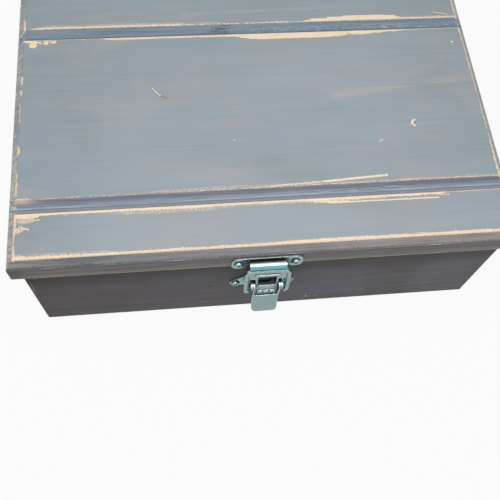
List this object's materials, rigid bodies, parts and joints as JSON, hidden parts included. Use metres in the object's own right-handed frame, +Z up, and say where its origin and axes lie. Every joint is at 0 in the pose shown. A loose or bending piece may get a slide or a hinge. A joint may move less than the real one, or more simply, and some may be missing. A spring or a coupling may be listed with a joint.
{
  "type": "tool box",
  "caption": "Low wooden tool box with a hinged lid of chamfered boards, painted blue-grey and rubbed back to bare wood at the edges, closed by a zinc draw latch",
  "frame": {"origin": "centre of the case's underside, where the box stands", "axes": "+X to the right along the box, seen from the latch side; +Y to the back, towards the hinges; +Z up"},
  "size_m": [0.43, 0.3159, 0.14],
  "materials": {
    "painted_wood": "matt blue-grey paint rubbed back to cream wood along the edges",
    "bare_wood": "planed, unpainted",
    "zinc_steel": "bright zinc plate",
    "painted_steel": "heads painted over with the wood"
  },
  "bodies": {
    "case": {"front_panel": "painted_wood", "back_panel": "painted_wood", "left_end": "painted_wood", "right_end": "painted_wood", "bottom_board": "painted_wood", "case_nails": "painted_steel", "bottom_screws": "zinc_steel", "hinge_case_leaf_left": "zinc_steel", "hinge_case_leaf_right": "zinc_steel", "hinge_pin_left": "zinc_steel", "hinge_pin_right": "zinc_steel", "hinge_case_screws": "zinc_steel", "latch_base": "zinc_steel", "latch_base_screws": "zinc_steel", "lever_rivets": "zinc_steel"},
    "lid": {"lid_board_front": "painted_wood", "lid_board_middle": "painted_wood", "lid_board_rear": "painted_wood", "lid_batten_left": "bare_wood", "lid_batten_right": "bare_wood", "batten_screws": "zinc_steel", "hinge_lid_leaf_left": "zinc_steel", "hinge_lid_leaf_right": "zinc_steel", "hinge_lid_screws": "zinc_steel", "strike_plate": "zinc_steel", "strike_screws": "zinc_steel"},
    "lever": {"latch_lever": "zinc_steel", "draw_pin": "zinc_steel"},
    "draw_plate": {"draw_plate": "zinc_steel"}
  },
  "joints": [
    {"name": "lid_hinge", "type": "hinge", "parent": "case", "child": "lid", "pos_m": [0, 0.1445, 0.115], "axis": [-1, 0, 0], "range_deg": [0, 180]},
    {"name": "lever_swing", "type": "hinge", "parent": "case", "child": "lever", "pos_m": [-0.0036, -0.16, 0.098], "axis": [-1, 0, 0], "range_deg": [0, 80]},
    {"name": "draw_plate_turn", "type": "hinge", "parent": "lever", "child": "draw_plate", "pos_m": [-0.0036, -0.158, 0.086], "axis": [-1, 0, 0], "range_deg": [-60, 0]}
  ],
  "couplings": [
    {"joint": "draw_plate_turn", "follows": "lever_swing", "ratio": -0.73}
  ]
}
